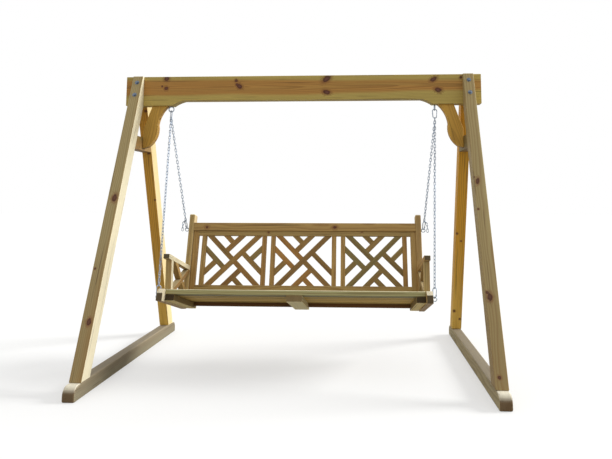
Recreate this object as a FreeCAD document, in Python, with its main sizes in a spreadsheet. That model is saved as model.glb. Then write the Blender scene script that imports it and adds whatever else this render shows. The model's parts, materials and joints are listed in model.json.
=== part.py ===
import FreeCAD, Part
import math
import os
from types import SimpleNamespace

from FreeCAD import Placement, Rotation, Vector

# A-frame garden swing of treated pine: a beam on two A-frames, and a slatted bench with a lattice back that
# hangs on chains.
# The origin is on the ground under the middle of the beam. +X runs along the beam, +Y to the rear, +Z up.

SIZES = {
    # Standing frame
    "frame_height": 1800,
    "beam_length": 2308,
    "beam_thickness": 70,
    "beam_end_height": 192,
    "beam_mid_height": 159,
    "arch_inset": 310,
    "arch_run": 74,
    "leg_inset": 52,
    "leg_thickness": 66,
    "leg_depth": 94,
    "leg_proud": 20,
    "leg_foot_reach": 700,
    "rail_height": 76,
    "rail_overhang": 66,
    "rail_round": 45,
    "tenon_length": 40,
    "tenon_depth": 50,
    "tenon_width": 24,
    "tie_height": 87,
    "tie_drop": 485,
    "brace_thickness": 45,
    "brace_reach": 160,
    "brace_toe_rise": 15,
    "brace_shoulder": 56,
    "brace_heel": 155,
    # Clearances
    "fit_clearance": 0.3,
    "hole_clearance": 0.2,
    "pin_clearance": 0.08,
    "hang_clearance": 0.6,
    "link_clearance": 0.4,
    "gate_clearance": 0.5,
    "overrun": 40,
    # Frame fasteners
    "leg_screw_radius": 5,
    "leg_screw_bite": 26,
    "leg_screw_head": 8.5,
    "leg_screw_head_height": 6,
    "leg_screw_drop": 46,
    "leg_screw_step": 86,
    "washer_radius": 14,
    "washer_thickness": 2.5,
    "wood_screw_radius": 3,
    "wood_screw_head": 5.5,
    "wood_screw_head_height": 4,
    "wood_screw_bite": 45,
    "tie_screw_margin": 22,
    "tie_screw_sink": 12,
    # Eyes under the beam
    "eye_set": 176,
    "eye_outer": 40,
    "eye_wire": 7,
    "eye_drop": 0.5,
    "eye_shank": 80,
    # Bench: seat
    "side_gap": 252,
    "seat_front_reach": 321.1,
    "seat_front_height": 484,
    "seat_tilt": 16,
    "back_lean": 13,
    "slat_count": 5,
    "slat_width": 84,
    "slat_gap": 7,
    "slat_thickness": 27,
    "slat_nosing": 4,
    "bearer_height": 36,
    "bearer_width": 53,
    "mid_bearer_width": 92,
    "bearer_tail": 35,
    "rear_rail_height": 24,
    "rear_rail_depth": 30,
    # Bench: sides
    "side_thickness": 36,
    "side_rail_height": 70,
    "side_rail_nose": 45,
    "nose_chamfer": 26,
    "arm_rise": 203,
    "arm_thickness": 28,
    "arm_overhang": 6,
    "arm_post_set": 95,
    "arm_post_depth": 38,
    "arm_brace_set": 148,
    "arm_brace_width": 30,
    # Bench: back
    "seat_back_gap": 0.5,
    "post_depth": 70,
    "post_overtop": 59,
    "post_nose": 10,
    "back_thickness": 30,
    "bottom_rail_rise": 52,
    "bottom_rail_height": 31,
    "lattice_height": 324,
    "lattice_rise": 372,
    "lattice_rail_height": 31,
    "top_rail_height": 54,
    "top_rail_thickness": 40,
    "stile_width": 36,
    "end_gap": 25,
    "panel_gap": 30,
    "panel_stile_width": 30,
    "panel_thickness": 24,
    "bar_width": 33,
    "bar_thickness": 18,
    # Bench fasteners
    "slat_screw_radius": 2.5,
    "slat_screw_head": 4.5,
    "slat_screw_head_height": 3,
    "slat_screw_bite": 24,
    "bench_screw_bite": 28,
    "side_screw_radius": 4,
    "side_screw_head": 7.5,
    "side_screw_head_height": 5,
    "side_screw_bite": 35,
    # Hanging gear
    "bench_eye_outer": 30,
    "bench_eye_wire": 5.5,
    "bench_eye_shank": 34,
    "front_eye_set": 34,
    "front_eye_drop": 38,
    "rear_eye_drop": 103,
    "rear_eye_set": 18,
    "hook_length": 64,
    "hook_top_width": 34,
    "hook_foot_width": 29,
    "hook_wire": 6,
    "gate_wire": 4.6,
    "gate_pin_radius": 1,
    "ear_thickness": 1.2,
    "ear_length": 7,
    "hook_turn": 40,
    "link_pitch": 20.5,
    "link_wire": 4,
    "link_width": 15,
    "chain_gap": 0.8,
    "join_ring_outer": 30,
}
# Sizes that follow others: the bench fills the frame, the feet reach past the legs, the braces land on the
# ties.
FOLLOWING = {
    "seat_length": "beam_length - 2 * ( leg_inset + leg_thickness + side_gap + side_thickness )",
    "rail_length": "2 * ( leg_foot_reach + rail_overhang )",
    "tie_bottom": "frame_height - tie_drop",
    "brace_drop": "tie_drop - beam_end_height - brace_toe_rise",
}

# Places along an outline, as shares of the sizes that carry it.
ARCH_MID_SHARES = (0.42, 0.56)
OGEE_SHARES = ((1.0, 0.0), (0.71, 0.21), (0.585, 0.45), (0.50, 0.78), (0.20, 0.975))
SCREW_PAIR_SHARES = (0.25, 0.75)
SIDE_SCREW_SHARES = (0.30, 0.72)
STILE_SCREW_SHARES = (0.20, 0.60)
BRACE_SCREW_SHARE = 0.62
# Spacing of the lattice bars, in shares of the rise of a panel's diagonals.
BAR_SHARE = 0.295

doc = FreeCAD.newDocument("garden_swing")
sheet = doc.addObject("Spreadsheet::Sheet", "Sizes")
for row, (alias, value) in enumerate(SIZES.items(), start=1):
    sheet.set(f"A{row}", alias)
    sheet.set(f"B{row}", str(value))
    sheet.setAlias(f"B{row}", alias)
for row, (alias, text) in enumerate(FOLLOWING.items(), start=len(SIZES) + 1):
    sheet.set(f"A{row}", alias)
    sheet.set(f"B{row}", "=" + text)
    sheet.setAlias(f"B{row}", alias)
doc.recompute()
NAMES = {**SIZES, **FOLLOWING}
d = SimpleNamespace(**{alias: float(sheet.get(alias)) for alias in NAMES})

parts = {}
holes = {}

X_AXIS = Vector(1, 0, 0)
Y_AXIS = Vector(0, 1, 0)
Z_AXIS = Vector(0, 0, 1)
# Outlines drawn in the side plane run their local x to +Y, y to +Z and are thick along +X.
SIDE_TURN = Rotation(Y_AXIS, Z_AXIS, X_AXIS)
# Outlines drawn in the front plane run their local x to +X, y to +Z and are thick along -Y.
FRONT_TURN = Rotation(X_AXIS, Z_AXIS, -Y_AXIS)


def at(x=0.0, y=0.0, z=0.0, turn=None):
    return Placement(Vector(x, y, z), turn or Rotation())


def aim(axis):
    return Rotation(Z_AXIS, axis)


def rule(text):
    return " ".join("Sizes." + word if word in NAMES else word for word in text.split())


def bind(item, **rules):
    for name, text in rules.items():
        item.setExpression(name, rule(text))
    return item


def box(name, length, width, height, place):
    item = bind(doc.addObject("Part::Box", name), Length=length, Width=width, Height=height)
    item.Placement = place
    return item


def rod(name, radius, height, place):
    item = bind(doc.addObject("Part::Cylinder", name), Radius=radius, Height=height)
    item.Placement = place
    return item


def lines(points):
    count = len(points)
    pairs = [(points[i], points[(i + 1) % count]) for i in range(count)]
    return [Part.LineSegment(Vector(*a, 0), Vector(*b, 0)) for a, b in pairs]


def arc(first, middle, last):
    return Part.Arc(Vector(*first, 0), Vector(*middle, 0), Vector(*last, 0))


def path(points):
    return lines(points)[:-1]


def clip(polygon, normal, limit):
    # Keeps the part of a polygon where the point's product with normal is at most limit.
    kept = []
    for index, here in enumerate(polygon):
        after = polygon[(index + 1) % len(polygon)]
        a = here[0] * normal[0] + here[1] * normal[1] - limit
        b = after[0] * normal[0] + after[1] * normal[1] - limit
        if a <= 0:
            kept.append(here)
        if a * b < 0:
            share = a / (a - b)
            kept.append((here[0] + (after[0] - here[0]) * share, here[1] + (after[1] - here[1]) * share))
    return kept


def line_of(start, end):
    run = math.hypot(end[0] - start[0], end[1] - start[1])
    normal = ((start[1] - end[1]) / run, (end[0] - start[0]) / run)
    return normal, normal[0] * start[0] + normal[1] * start[1]


def strip(outline, start, end, width):
    # The part of an outline that a board along a line covers.
    normal, middle = line_of(start, end)
    outline = clip(outline, normal, middle + width / 2)
    return clip(outline, (-normal[0], -normal[1]), width / 2 - middle)


def beside(outline, start, end, width, keep):
    # The part of an outline above a board along a line (keep 1) or below it (keep -1).
    normal, middle = line_of(start, end)
    return clip(outline, (-keep * normal[0], -keep * normal[1]), -keep * middle - width / 2)


def plank(name, edges, thickness, place):
    body = doc.addObject("PartDesign::Body", name)
    sketch = body.newObject("Sketcher::SketchObject", name + "_outline")
    planes = [plane for plane in body.Origin.OriginFeatures if plane.Role == "XY_Plane"]
    sketch.AttachmentSupport = [(planes[0], "")]
    sketch.MapMode = "FlatFace"
    for edge in edges:
        sketch.addGeometry(edge)
    pad = body.newObject("PartDesign::Pad", name + "_pad")
    pad.Profile = sketch
    bind(pad, Length=thickness)
    body.Placement = place
    return body


def join(name, first, second):
    item = doc.addObject("Part::Fuse", name)
    item.Base = first
    item.Tool = second
    return item


def carve(name, base, tool):
    item = doc.addObject("Part::Cut", name)
    item.Base = base
    item.Tool = tool
    return item


def group(name, shapes):
    item = doc.addObject("Part::Feature", name)
    item.Shape = Part.makeCompound(shapes)
    return item


def moved(shape, place):
    copy = shape.copy()
    copy.Placement = place.multiply(copy.Placement)
    return copy


def fastener(name, radius, head, head_height, length, sides=0):
    # Local origin under the head, +Z out of the wood. The cutter is the hole and the head's own recess.
    if sides:
        top = doc.addObject("Part::Prism", name + "_head")
        top.Polygon = sides
        bind(top, Circumradius=head, Height=head_height)
    else:
        top = rod(name + "_head", head, head_height, at())
    bind(rod(name + "_shank", radius, length, at()), **{"Placement.Base.z": f"0 - ( {length} )"})
    solid = join(name + "_screw", top, doc.getObject(name + "_shank"))
    bore = rod(name + "_bore", f"{radius} + hole_clearance", f"{length} + hole_clearance", at())
    bind(bore, **{"Placement.Base.z": f"0 - ( {length} ) - hole_clearance"})
    recess = rod(name + "_recess", f"{head} + hole_clearance", f"{head_height} + overrun", at())
    cutter = join(name + "_cutter", bore, recess)
    doc.recompute()
    return solid.Shape, cutter.Shape


screws = {}


def fasten(node, kind, places, pieces):
    solid, cutter = kind
    for place in places:
        screws.setdefault(node, []).append(moved(solid, place))
        for piece in pieces:
            holes.setdefault(piece, []).append(moved(cutter, place))


def drill(piece, shape):
    holes.setdefault(piece, []).append(shape)


def finish(label, base):
    if label in holes:
        base = carve(label + "_drilled", base, group(label + "_holes", holes[label]))
    base.Label = label
    parts[label] = base


SIDES = (("left", -1), ("right", 1))

# Standing frame, worked out from its sizes.
beam_half = d.beam_length / 2
beam_face = d.beam_thickness / 2
beam_foot = d.frame_height - d.beam_end_height
arch_foot = d.frame_height - d.beam_mid_height
leg_outer = beam_half - d.leg_inset
leg_inner = leg_outer - d.leg_thickness
leg_middle = leg_outer - d.leg_thickness / 2
leg_top_reach = beam_face + d.leg_proud
leg_rake = (d.leg_foot_reach - leg_top_reach) / (d.frame_height - d.rail_height)
leg_angle = math.atan(leg_rake)
leg_foot_inner = d.leg_foot_reach - d.leg_depth
leg_lap = d.rail_height + (leg_foot_inner - beam_face) / leg_rake


def leg_face(z):
    return d.leg_foot_reach - leg_rake * (z - d.rail_height)


def leg_back(z):
    return leg_face(z) - d.leg_depth


# Coach screws run square to each leg's outer face and bite into the beam.
upper_z = d.frame_height - d.leg_screw_drop
screw_levels = {"upper": upper_z, "lower": upper_z - d.leg_screw_step}
for level, z in screw_levels.items():
    below = "leg_screw_drop" if level == "upper" else "( leg_screw_drop + leg_screw_step )"
    wedge = f"leg_proud + {below} * ( leg_foot_reach - beam_thickness / 2 - leg_proud )"
    wedge = f"( {wedge} / ( frame_height - rail_height ) )"
    length = f"{wedge} * {math.cos(leg_angle)} + leg_screw_bite + washer_thickness"
    coach = fastener("leg_" + level, "leg_screw_radius", "leg_screw_head", "leg_screw_head_height", length, 6)
    shank_hole = rod(f"leg_{level}_hole", "leg_screw_radius + hole_clearance", f"{length} + overrun", at())
    bind(shank_hole, **{"Placement.Base.z": f"0 - ( {length} )"})
    doc.recompute()
    for side, sign in SIDES:
        for end, way in (("front", -1), ("rear", 1)):
            outward = Vector(0, way * math.cos(leg_angle), math.sin(leg_angle))
            seat = Vector(sign * leg_middle, way * leg_face(z), z) + outward * d.washer_thickness
            place = Placement(seat, aim(outward))
            screws.setdefault("leg_screws", []).append(moved(coach[0], place))
            hole = moved(shank_hole.Shape, place)
            drill("top_beam", hole)
            drill(f"{end}_leg_{side}", hole)
            under = Placement(seat - outward * d.washer_thickness, aim(outward))
            washer = Part.makeCylinder(d.washer_radius, d.washer_thickness)
            bore = Part.makeCylinder(d.leg_screw_radius + d.hole_clearance, d.washer_thickness)
            screws.setdefault("leg_washers", []).append(moved(washer.cut(bore), under))

# Tie screws pass level through each leg into the end of its tie.
tie_top = d.tie_bottom + d.tie_height
tie_kind = fastener("tie", "wood_screw_radius", "wood_screw_head", "wood_screw_head_height",
                    "leg_depth + wood_screw_bite - tie_screw_sink")
for side, sign in SIDES:
    for end, way in (("front", -1), ("rear", 1)):
        for z in (d.tie_bottom + d.tie_screw_margin, tie_top - d.tie_screw_margin):
            sunk = leg_face(z) - d.tie_screw_sink
            place = Placement(Vector(sign * leg_middle, way * sunk, z), aim(Vector(0, way, 0)))
            fasten("tie_screws", tie_kind, [place], [f"{end}_leg_{side}", f"collar_tie_{side}"])

# Brace screws: one up through the shoulder into the beam, one level through the foot into the tie.
brace_kind = fastener("brace", "wood_screw_radius", "wood_screw_head", "wood_screw_head_height",
                      "wood_screw_bite * 2")
for side, sign in SIDES:
    shoulder_x = leg_inner - d.brace_reach * BRACE_SCREW_SHARE
    shoulder = Vector(sign * shoulder_x, 0, beam_foot - d.wood_screw_bite)
    fasten("brace_screws", brace_kind, [Placement(shoulder, aim(-Z_AXIS))],
           [f"knee_brace_{side}", "top_beam"])
    foot_z = tie_top - d.tie_screw_margin
    foot = Vector(sign * (leg_inner - d.wood_screw_bite), 0, foot_z)
    fasten("brace_screws", brace_kind, [Placement(foot, aim(Vector(-sign, 0, 0)))],
           [f"knee_brace_{side}", f"collar_tie_{side}"])

# Eyes under the beam: the left ring faces the front, the right ring faces the side.
eye_mean = (d.eye_outer - d.eye_wire) / 2
eye_z = beam_foot - d.eye_drop - d.eye_outer / 2
eye_x = leg_inner - d.eye_set
for side, sign in SIDES:
    ring = bind(doc.addObject("Part::Torus", f"eye_ring_{side}"),
                Radius1="( eye_outer - eye_wire ) / 2", Radius2="eye_wire / 2")
    ring.Placement = at(sign * eye_x, 0, eye_z, aim(Y_AXIS) if side == "left" else aim(X_AXIS))
    shank = rod(f"eye_shank_{side}", "eye_wire / 2", "eye_shank + eye_drop + eye_wire / 2",
                at(sign * eye_x, 0, eye_z + eye_mean))
    finish(f"eye_screw_{side}", join(f"eye_{side}", ring, shank))
    pilot = Part.makeCylinder(d.eye_wire / 2 + d.hole_clearance, d.eye_shank + d.hole_clearance + d.overrun,
                              Vector(sign * eye_x, 0, beam_foot - d.overrun))
    drill("top_beam", pilot)

# Beam with deep ends and an arched lower edge.
arch_outer = beam_half - d.arch_inset
arch_inner = arch_outer - d.arch_run
arch_mid_x = arch_outer - d.arch_run * ARCH_MID_SHARES[0]
arch_mid_z = beam_foot + (arch_foot - beam_foot) * ARCH_MID_SHARES[1]
beam_edges = path([(-arch_outer, beam_foot), (-beam_half, beam_foot), (-beam_half, d.frame_height),
                   (beam_half, d.frame_height), (beam_half, beam_foot), (arch_outer, beam_foot)])
beam_edges.append(arc((arch_outer, beam_foot), (arch_mid_x, arch_mid_z), (arch_inner, arch_foot)))
beam_edges += path([(arch_inner, arch_foot), (-arch_inner, arch_foot)])
beam_edges.append(arc((-arch_inner, arch_foot), (-arch_mid_x, arch_mid_z), (-arch_outer, beam_foot)))
finish("top_beam", plank("beam_blank", beam_edges, "beam_thickness", at(0, beam_face, 0, FRONT_TURN)))

rail_half = d.rail_length / 2
round_share = 1 - math.sqrt(0.5)
for side, sign in SIDES:
    inner_x = leg_inner if sign > 0 else -leg_outer
    for end, way in (("front", -1), ("rear", 1)):
        outline = [(way * leg_top_reach, d.frame_height), (way * beam_face, d.frame_height),
                   (way * beam_face, leg_lap), (way * leg_foot_inner, d.rail_height),
                   (way * d.leg_foot_reach, d.rail_height)]
        leg = plank(f"{end}_leg_{side}_blank", lines(outline), "leg_thickness", at(inner_x, 0, 0, SIDE_TURN))
        foot_y = way * (d.leg_foot_reach - d.leg_depth / 2)
        tenon = box(f"{end}_tenon_{side}", "tenon_width", "tenon_depth", "tenon_length",
                    at(sign * leg_middle - d.tenon_width / 2, foot_y - d.tenon_depth / 2,
                       d.rail_height - d.tenon_length))
        finish(f"{end}_leg_{side}", join(f"{end}_leg_{side}_tenoned", leg, tenon))
        slack = 2 * d.fit_clearance
        mortise = Part.makeBox(d.tenon_width + slack, d.tenon_depth + slack, d.tenon_length + d.overrun,
                               Vector(sign * leg_middle - d.tenon_width / 2 - d.fit_clearance,
                                      foot_y - d.tenon_depth / 2 - d.fit_clearance,
                                      d.rail_height - d.tenon_length - d.fit_clearance))
        drill(f"foot_rail_{side}", mortise)
    rise = d.rail_height - d.rail_round
    turn_in = rail_half - d.rail_round * round_share
    turn_up = d.rail_height - d.rail_round * round_share
    edges = path([(-rail_half, rise), (-rail_half, 0), (rail_half, 0), (rail_half, rise)])
    edges.append(arc((rail_half, rise), (turn_in, turn_up), (rail_half - d.rail_round, d.rail_height)))
    edges += path([(rail_half - d.rail_round, d.rail_height), (d.rail_round - rail_half, d.rail_height)])
    edges.append(arc((d.rail_round - rail_half, d.rail_height), (-turn_in, turn_up), (-rail_half, rise)))
    finish(f"foot_rail_{side}", plank(f"rail_{side}_blank", edges, "leg_thickness",
                                      at(inner_x, 0, 0, SIDE_TURN)))

    tie = [(-leg_back(d.tie_bottom), d.tie_bottom), (leg_back(d.tie_bottom), d.tie_bottom),
           (leg_back(tie_top), tie_top), (-leg_back(tie_top), tie_top)]
    finish(f"collar_tie_{side}", plank(f"tie_{side}_blank", lines(tie), "leg_thickness",
                                       at(inner_x, 0, 0, SIDE_TURN)))

    ogee = [(sign * (leg_inner - d.brace_reach * u), beam_foot - d.brace_drop * v) for u, v in OGEE_SHARES]
    heel = (sign * leg_inner, beam_foot - d.brace_heel)
    tip = (sign * leg_inner, beam_foot - d.brace_drop)
    shoulder = (sign * (leg_inner - d.brace_shoulder), beam_foot)
    edges = [arc(*ogee[0:3]), arc(*ogee[2:5])] + path([ogee[4], tip, heel, shoulder, ogee[0]])
    finish(f"knee_brace_{side}", plank(f"brace_{side}_blank", edges, "brace_thickness",
                                       at(0, d.brace_thickness / 2, 0, FRONT_TURN)))

# Bench. The seat frame starts at the top front edge of the seat: local y runs back along the seat, z square
# to it.
seat_half = d.seat_length / 2
side_outer = seat_half + d.side_thickness
slat_count = int(d.slat_count)
slat_step = d.slat_width + d.slat_gap
seat_depth = slat_count * slat_step - d.slat_gap
seat = at(0, -d.seat_front_reach, d.seat_front_height, Rotation(X_AXIS, -d.seat_tilt))
# The back frame starts on the front face of the back, at the seat's rear edge: local z runs up the back.
hinge_line = seat.multVec(Vector(0, seat_depth + d.seat_back_gap, 0))
back = Placement(hinge_line, Rotation(X_AXIS, -d.back_lean))
splay = math.radians(d.back_lean - d.seat_tilt)
bearer_top = -d.slat_thickness
bearer_foot = bearer_top - d.bearer_height


def post_front(rise):
    return seat_depth + d.seat_back_gap - d.post_nose / math.cos(splay) + rise * math.tan(splay)


slat_kind = fastener("slat", "slat_screw_radius", "slat_screw_head", "slat_screw_head_height",
                     "slat_thickness - slat_screw_head_height + slat_screw_bite")
bench_kind = fastener("bench", "wood_screw_radius", "wood_screw_head", "wood_screw_head_height",
                      "side_thickness - wood_screw_head_height + bench_screw_bite")
side_kind = fastener("side", "side_screw_radius", "side_screw_head", "side_screw_head_height",
                     "side_thickness + side_screw_bite", 6)

bearers = {"left": (-seat_half, "bearer_width"), "middle": (-d.mid_bearer_width / 2, "mid_bearer_width"),
           "right": (seat_half - d.bearer_width, "bearer_width")}
for name, (start, width) in bearers.items():
    middle = start + (d.mid_bearer_width if name == "middle" else d.bearer_width) / 2
    for index in range(slat_count):
        for share in SCREW_PAIR_SHARES:
            spot = Vector(middle, index * slat_step + d.slat_width * share, -d.slat_screw_head_height)
            place = seat.multiply(at(*spot))
            slat = "seat_front_slat" if index == 0 else "seat_slats"
            fasten("slat_screws", slat_kind, [place], [slat, f"seat_bearer_{name}"])

side_level = bearer_top - d.bearer_height / 2
for side, sign in SIDES:
    outward = Vector(sign, 0, 0)
    rear_spot = (post_front(side_level) + seat_depth + d.bearer_tail) / 2
    for share in SIDE_SCREW_SHARES:
        spot = Vector(sign * side_outer, seat_depth * share, side_level)
        place = seat.multiply(Placement(spot, aim(outward)))
        fasten("side_screws", side_kind, [place], [f"side_rail_{side}", f"seat_bearer_{side}"])
    place = seat.multiply(Placement(Vector(sign * side_outer, rear_spot, side_level), aim(outward)))
    fasten("side_screws", side_kind, [place], [f"back_post_{side}", f"seat_bearer_{side}"])

slats = []
for index in range(slat_count):
    name = "front_slat_blank" if index == 0 else f"slat_{index}_blank"
    slat = box(name, "seat_length", "slat_width", "slat_thickness",
               seat.multiply(at(-seat_half, index * slat_step, -d.slat_thickness)))
    slats.append(slat)
finish("seat_front_slat", slats[0])
rest = doc.addObject("Part::Compound", "slat_set")
rest.Links = slats[1:]
finish("seat_slats", rest)

for name, (start, width) in bearers.items():
    blank = box(f"bearer_{name}_blank", width, f"{seat_depth} + bearer_tail - slat_nosing", "bearer_height",
                seat.multiply(at(start, d.slat_nosing, bearer_foot)))
    finish(f"seat_bearer_{name}", blank)

bay = "( seat_length - 2 * bearer_width - mid_bearer_width ) / 2"
bays = [box(f"rear_rail_{side}_blank", bay, "rear_rail_depth", "rear_rail_height",
            seat.multiply(at(start, seat_depth - d.rear_rail_depth, bearer_top - d.rear_rail_height)))
        for side, start in (("left", d.bearer_width - seat_half), ("right", d.mid_bearer_width / 2))]
rear_rails = doc.addObject("Part::Compound", "rear_rail_set")
rear_rails.Links = bays
finish("seat_rear_rails", rear_rails)

# Sides of the bench: side rail, arm post, crossed braces, arm rest and back post share one plane outside the
# bearers.
arm_foot = d.arm_rise - d.arm_thickness
post_slide = arm_foot * math.tan(math.radians(d.seat_tilt))
post_foot = bearer_foot
post_top_rise = (d.bottom_rail_rise + d.bottom_rail_height + d.lattice_height + d.lattice_rail_height
                 + d.top_rail_height + d.post_overtop)
top_rail_low = post_top_rise - d.post_overtop - d.top_rail_height
rear_eye_y = d.rear_eye_set - d.post_nose
rear_eye_rise = post_top_rise - d.rear_eye_drop
for side, sign in SIDES:
    start = seat_half if sign > 0 else -side_outer
    side_place = seat.multiply(at(start, 0, 0, SIDE_TURN))
    nose = -d.side_rail_nose
    foot = -d.side_rail_height
    rail = [(nose, foot), (post_front(foot), foot), (post_front(0), 0), (nose + d.nose_chamfer, 0),
            (nose, -d.nose_chamfer)]
    arm_screw = seat.multiply(Placement(
        Vector(sign * (seat_half + d.side_thickness / 2),
               d.arm_post_set - post_slide + d.arm_post_depth / 2,
               d.arm_rise - d.wood_screw_head_height), Rotation()))
    fasten("bench_screws", bench_kind, [arm_screw], [f"arm_rest_{side}", f"arm_post_{side}"])
    stile_y = d.back_thickness / 2
    for share in STILE_SCREW_SHARES:
        spot = Vector(sign * (side_outer - d.wood_screw_head_height), stile_y, top_rail_low * share)
        fasten("bench_screws", bench_kind, [back.multiply(Placement(spot, aim(Vector(sign, 0, 0))))],
               [f"back_post_{side}", f"back_stile_{side}"])
    spot = Vector(sign * (side_outer - d.wood_screw_head_height), stile_y,
                  top_rail_low + d.top_rail_height / 2)
    fasten("bench_screws", bench_kind, [back.multiply(Placement(spot, aim(Vector(sign, 0, 0))))],
           [f"back_post_{side}", "back_top_rail"])

    eye_grip = d.bench_eye_wire / 2 + d.hole_clearance
    front_eye = seat.multVec(Vector(sign * side_outer, d.front_eye_set, -d.front_eye_drop))
    rear_eye = back.multVec(Vector(sign * side_outer, rear_eye_y, rear_eye_rise))
    for spot, carrier in ((front_eye, f"side_rail_{side}"), (rear_eye, f"back_post_{side}")):
        pilot = Part.makeCylinder(eye_grip, d.bench_eye_shank + d.hole_clearance + d.overrun,
                                  spot + Vector(sign * d.overrun, 0, 0), Vector(-sign, 0, 0))
        drill(carrier, pilot)

    finish(f"side_rail_{side}", plank(f"side_rail_{side}_blank", lines(rail), "side_thickness", side_place))
    post = [(d.arm_post_set, 0), (d.arm_post_set + d.arm_post_depth, 0),
            (d.arm_post_set + d.arm_post_depth - post_slide, arm_foot),
            (d.arm_post_set - post_slide, arm_foot)]
    finish(f"arm_post_{side}", plank(f"arm_post_{side}_blank", lines(post), "side_thickness", side_place))
    # Crossed braces fill the side: one runs up to the rear, the other butts on it from above and below.
    bay_foot = (d.arm_post_set + d.arm_post_depth, 0)
    bay_rear = (post_front(arm_foot), arm_foot)
    side_bay = [bay_foot, (post_front(0), 0), bay_rear, (bay_foot[0] - post_slide, arm_foot)]
    climb = (bay_foot, bay_rear, d.arm_brace_width)
    fall = strip(side_bay, (d.arm_brace_set, arm_foot), (post_front(0), 0), d.arm_brace_width)
    cross = {"climb": strip(side_bay, *climb), "upper": beside(fall, *climb, 1),
             "lower": beside(fall, *climb, -1)}
    braces = doc.addObject("Part::Compound", f"arm_brace_{side}_set")
    braces.Links = [plank(f"arm_brace_{side}_{key}", lines(outline), "side_thickness", side_place)
                    for key, outline in cross.items()]
    finish(f"arm_brace_{side}", braces)
    arm = [(-d.arm_overhang, arm_foot), (post_front(arm_foot), arm_foot),
           (post_front(d.arm_rise), d.arm_rise), (-d.arm_overhang, d.arm_rise)]
    finish(f"arm_rest_{side}", plank(f"arm_rest_{side}_blank", lines(arm), "side_thickness", side_place))
    finish(f"back_post_{side}", box(f"back_post_{side}_blank", "side_thickness", "post_depth",
                                    f"{post_top_rise} - ( {post_foot} )",
                                    back.multiply(at(start, -d.post_nose, post_foot))))
    stile_x = seat_half - d.stile_width if sign > 0 else -seat_half
    finish(f"back_stile_{side}", box(f"stile_{side}_blank", "stile_width", "back_thickness",
                                     f"{top_rail_low}", back.multiply(at(stile_x, 0, 0))))

# Back rails, panels and lattice.
top_rail_set = d.back_thickness - d.top_rail_thickness
finish("back_top_rail", box("top_rail_blank", "seat_length", "top_rail_thickness", "top_rail_height",
                            back.multiply(at(-seat_half, top_rail_set, top_rail_low))))
inner_length = "seat_length - 2 * stile_width"
inner_half = seat_half - d.stile_width
lattice_low = d.bottom_rail_rise + d.bottom_rail_height
finish("back_bottom_rail", box("bottom_rail_blank", inner_length, "back_thickness", "bottom_rail_height",
                               back.multiply(at(-inner_half, 0, d.bottom_rail_rise))))
finish("lattice_top_rail", box("lattice_rail_blank", inner_length, "back_thickness", "lattice_rail_height",
                               back.multiply(at(-inner_half, 0, lattice_low + d.lattice_height))))
panel_width = (2 * inner_half - 2 * d.end_gap - 2 * d.panel_gap) / 3
window_width = panel_width - 2 * d.panel_stile_width
panel_back = (d.back_thickness - d.panel_thickness) / 2
bar_back = (d.back_thickness - d.bar_thickness) / 2


def bar_line(slope, shift):
    low = (d.lattice_height - d.lattice_rise) / 2 + d.lattice_rise * (shift if slope > 0 else 1 + shift)
    return (0, low), (window_width, low + slope * d.lattice_rise)


def bar(slope, shift, stops):
    # A bar along one diagonal, moved up by a share of its rise, and cut short by the bars that it butts on.
    outline = [(0, 0), (window_width, 0), (window_width, d.lattice_height), (0, d.lattice_height)]
    outline = strip(outline, *bar_line(slope, shift), d.bar_width)
    for stop_slope, stop_shift, keep in stops:
        outline = beside(outline, *bar_line(stop_slope, stop_shift), d.bar_width, keep)
    return outline


# Slope, shift, and the stops: slope and shift of the bar that it meets, and the side kept (1 above, -1
# below).
BARS = {
    "rising": (1, 0, []),
    "falling_upper": (-1, 0, [(1, 0, 1)]),
    "falling_lower": (-1, 0, [(1, 0, -1)]),
    "left_fall": (-1, -BAR_SHARE, [(1, 0, 1)]),
    "left_rise": (1, BAR_SHARE, [(-1, -BAR_SHARE, -1)]),
    "right_fall": (-1, BAR_SHARE, [(1, 0, -1)]),
    "right_rise": (1, -BAR_SHARE, [(-1, BAR_SHARE, 1)]),
    "top_rise": (1, BAR_SHARE, [(-1, 0, 1)]),
    "top_fall": (-1, BAR_SHARE, [(1, BAR_SHARE, 1)]),
    "foot_rise": (1, -BAR_SHARE, [(-1, 0, -1)]),
    "foot_fall": (-1, -BAR_SHARE, [(1, -BAR_SHARE, -1)]),
}
stiles = []
for index, name in enumerate(("left", "middle", "right")):
    panel_x = -inner_half + d.end_gap + index * (panel_width + d.panel_gap)
    window_x = panel_x + d.panel_stile_width
    for end, stile_x in (("a", panel_x), ("b", window_x + window_width)):
        stiles.append(box(f"panel_stile_{name}_{end}", "panel_stile_width", "panel_thickness",
                          "lattice_height", back.multiply(at(stile_x, panel_back, lattice_low))))
    kept = [key for key in BARS if not (name == "middle" and key == "right_rise")]
    bars = []
    for key in kept:
        slope, shift, stops = BARS[key]
        turn = back.multiply(at(window_x, bar_back + d.bar_thickness, lattice_low, FRONT_TURN))
        bars.append(plank(f"{name}_{key}", lines(bar(slope, shift, stops)), "bar_thickness", turn))
    panel = doc.addObject("Part::Compound", f"{name}_bars")
    panel.Links = bars
    finish(f"lattice_{name}", panel)
stile_set = doc.addObject("Part::Compound", "panel_stile_set")
stile_set.Links = stiles
finish("panel_stiles", stile_set)

# Hanging gear. A snap hook is a pear of round wire, open on its gate side; its local y runs up and x to the
# gate.
hook_top = (d.hook_top_width - d.hook_wire) / 2
hook_low = (d.hook_foot_width - d.hook_wire) / 2
hook_reach = d.hook_length - d.hook_wire
hook_span = hook_reach - hook_top - hook_low
flank = math.asin((hook_top - hook_low) / hook_span)


def on_ring(centre, radius, angle):
    return Vector(radius * math.cos(angle), centre + radius * math.sin(angle), 0)


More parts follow.
